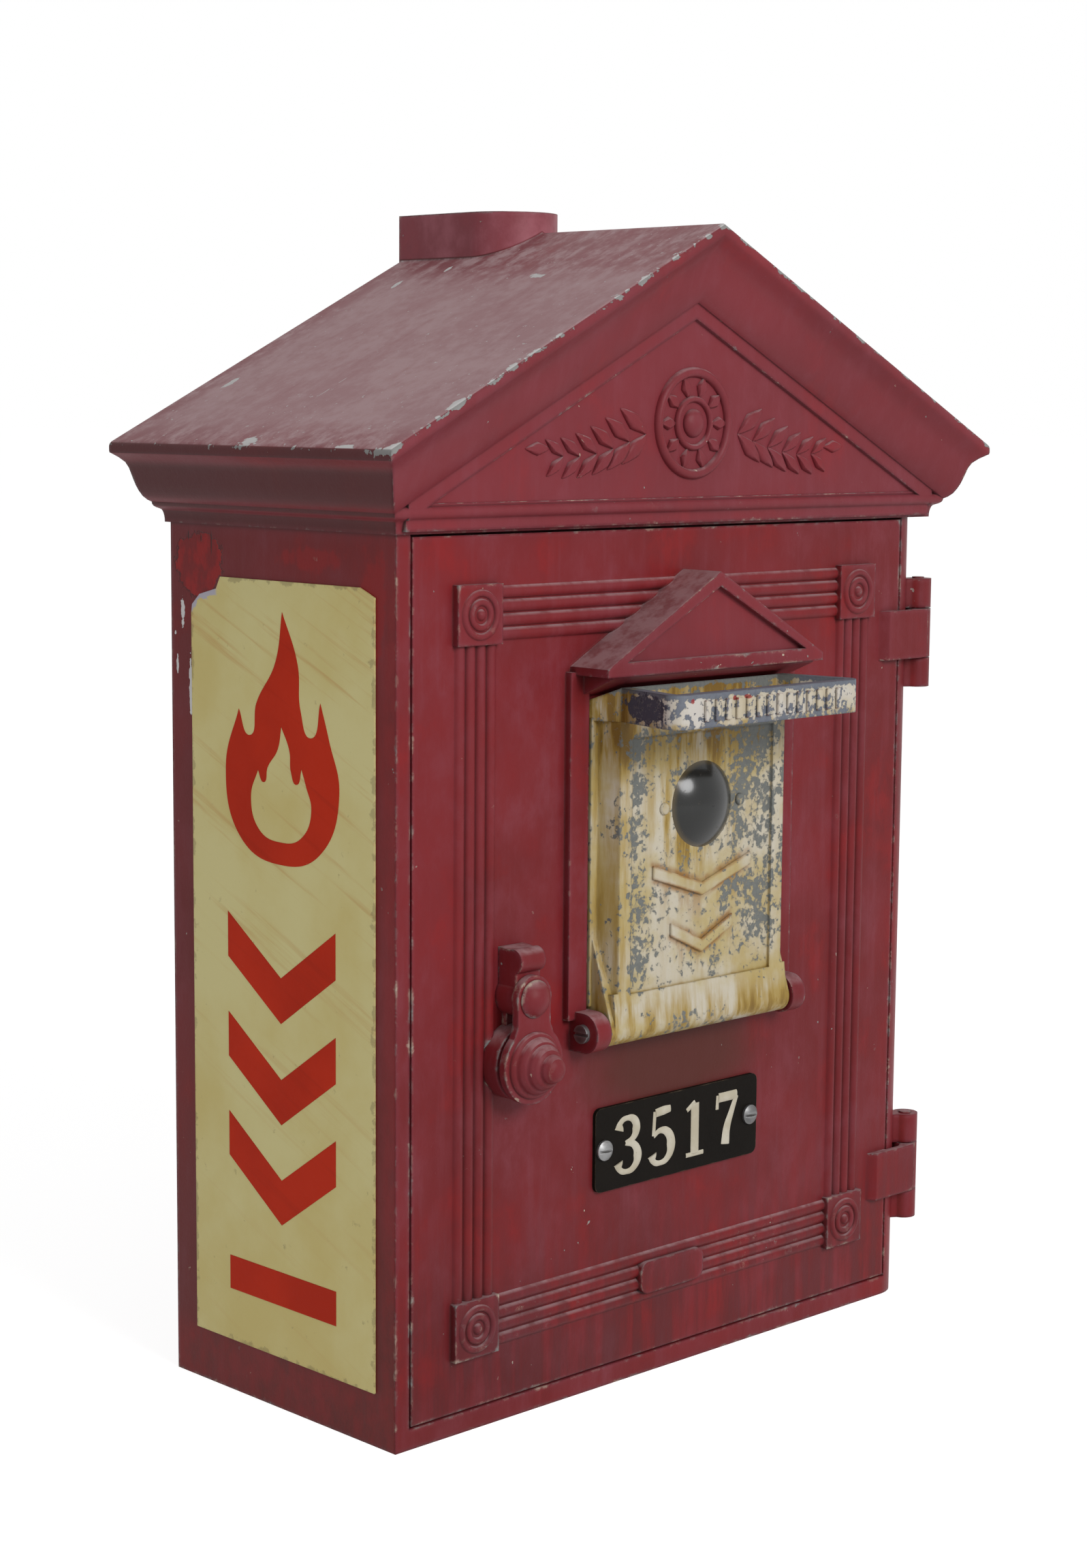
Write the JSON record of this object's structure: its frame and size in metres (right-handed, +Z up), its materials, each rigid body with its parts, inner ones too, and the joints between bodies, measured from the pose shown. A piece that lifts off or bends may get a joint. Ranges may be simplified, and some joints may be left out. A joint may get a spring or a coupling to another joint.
{
  "type": "street fire alarm box",
  "caption": "Gable-roofed cast street fire alarm box: hinged door, spring-closed pull door over a pull lever, swinging keyhole cover and a clockwork signal movement inside.",
  "frame": {"origin": "middle of the flat base of the case", "axes": "+X to the right seen from the front, -Y out of the door, +Z up"},
  "size_m": [0.326, 0.1865, 0.447],
  "materials": {
    "red_paint": "worn gloss red paint on cast metal",
    "cream_paint": "chipped cream paint on cast metal",
    "steel": "dull steel",
    "brass": "aged brass",
    "fan_aluminium": "thin sheet",
    "lens_glass": "dark glossy dome",
    "black_plate": "black enamel",
    "sign_sheet": "weathered cream sheet",
    "insulator": "moulded insulation",
    "porcelain": "glazed insulation",
    "coil_wrap": "wrapped coil"
  },
  "bodies": {
    "case": {"case": "red_paint", "door_hinge_pins": "steel", "lock_keeper": "steel", "side_sign": "sign_sheet", "movement_posts": "steel", "movement_back_plate": "brass", "movement_pillars": "brass", "movement_front_plate": "brass", "front_plate_screws": "steel", "lever_spring": "steel", "contact_block": "insulator", "contact_springs": "brass", "magnet_yoke": "steel", "magnet_coils": "coil_wrap", "hammer_post": "steel", "gong": "steel", "gong_post": "brass", "key_base": "insulator", "key_pin": "steel", "terminal_block": "porcelain", "binding_posts": "brass"},
    "door": {"door": "red_paint", "pull_door_pin": "steel", "pull_door_spring": "steel", "number_plate": "black_plate", "number_plate_screws": "steel", "lock_boss": "red_paint", "keyhole_cover_pin": "steel", "lock_case": "steel", "lock_case_screws": "steel"},
    "pull_door": {"pull_door": "cream_paint", "lens": "lens_glass", "lens_ring": "steel", "lens_rivets": "steel"},
    "keyhole_cover": {"keyhole_cover": "red_paint"},
    "lock_plug": {"lock_plug": "brass"},
    "lock_bolt": {"lock_bolt": "brass"},
    "pull_lever": {"pull_lever": "red_paint", "lever_arbor": "steel", "lever_sector": "brass"},
    "winder": {"main_arbor": "steel", "winding_pinion": "steel"},
    "main_wheel": {"main_wheel": "brass", "spring_barrel": "brass", "mainspring": "steel"},
    "second_wheel": {"second_arbor": "steel", "second_pinion": "steel", "second_wheel": "brass", "code_wheel": "brass"},
    "governor": {"governor_arbor": "steel", "governor_pinion": "steel", "governor_fan": "fan_aluminium"},
    "bell_hammer": {"bell_hammer": "steel"},
    "key_lever": {"key_lever": "brass"}
  },
  "joints": [
    {"name": "door_hinge", "type": "hinge", "parent": "case", "child": "door", "pos_m": [0.1465, -0.0605, 0.053], "axis": [0, 0, 1], "range_deg": [0, 110]},
    {"name": "pull_door_hinge", "type": "hinge", "parent": "door", "child": "pull_door", "pos_m": [0, -0.0715, 0.142], "axis": [1, 0, 0], "range_deg": [0, 95], "stiffness_Nm_per_rad": 0.35, "springref_deg": -57.3},
    {"name": "cover_swing", "type": "hinge", "parent": "door", "child": "keyhole_cover", "pos_m": [-0.089, -0.0755, 0.1604], "axis": [0, 1, 0], "range_deg": [-20, 75]},
    {"name": "key_turn", "type": "hinge", "parent": "door", "child": "lock_plug", "pos_m": [-0.089, -0.06, 0.136], "axis": [0, -1, 0], "range_deg": [0, 90]},
    {"name": "bolt_slide", "type": "slide", "parent": "door", "child": "lock_bolt", "axis": [-1, 0, 0], "range_m": [0, 0.012]},
    {"name": "lever_pull", "type": "hinge", "parent": "case", "child": "pull_lever", "pos_m": [-0.035, -0.03, 0.212], "axis": [0, 1, 0], "range_deg": [0, 70], "stiffness_Nm_per_rad": 0.15, "springref_deg": -40.11, "deforming": ["lever_spring"]},
    {"name": "winder_turn", "type": "hinge", "parent": "case", "child": "winder", "pos_m": [-0.035, -0.01, 0.185], "axis": [0, 1, 0], "range_deg": [-140, 0]},
    {"name": "main_wheel_spin", "type": "hinge", "parent": "case", "child": "main_wheel", "pos_m": [-0.035, -0.01, 0.185], "axis": [0, 1, 0], "continuous": true},
    {"name": "second_wheel_spin", "type": "hinge", "parent": "case", "child": "second_wheel", "pos_m": [0.0025, -0.01, 0.185], "axis": [0, 1, 0], "continuous": true},
    {"name": "governor_spin", "type": "hinge", "parent": "case", "child": "governor", "pos_m": [0.0265, -0.01, 0.185], "axis": [0, 1, 0], "continuous": true},
    {"name": "hammer_swing", "type": "hinge", "parent": "case", "child": "bell_hammer", "pos_m": [-0.024, -0.0362, 0.1525], "axis": [0, 1, 0], "range_deg": [0, 6], "stiffness_Nm_per_rad": 0.03, "springref_deg": -28.65},
    {"name": "key_press", "type": "hinge", "parent": "case", "child": "key_lever", "pos_m": [-0.049, -0.036, 0.136], "axis": [0, 0, 1], "range_deg": [0, 3], "stiffness_Nm_per_rad": 0.05, "springref_deg": -5.73}
  ],
  "couplings": [
    {"joint": "key_turn", "follows": "bolt_slide", "rad_per_m": 130.9},
    {"joint": "winder_turn", "follows": "lever_pull", "ratio": -2},
    {"joint": "second_wheel_spin", "follows": "main_wheel_spin", "ratio": -4},
    {"joint": "governor_spin", "follows": "main_wheel_spin", "ratio": 16}
  ]
}
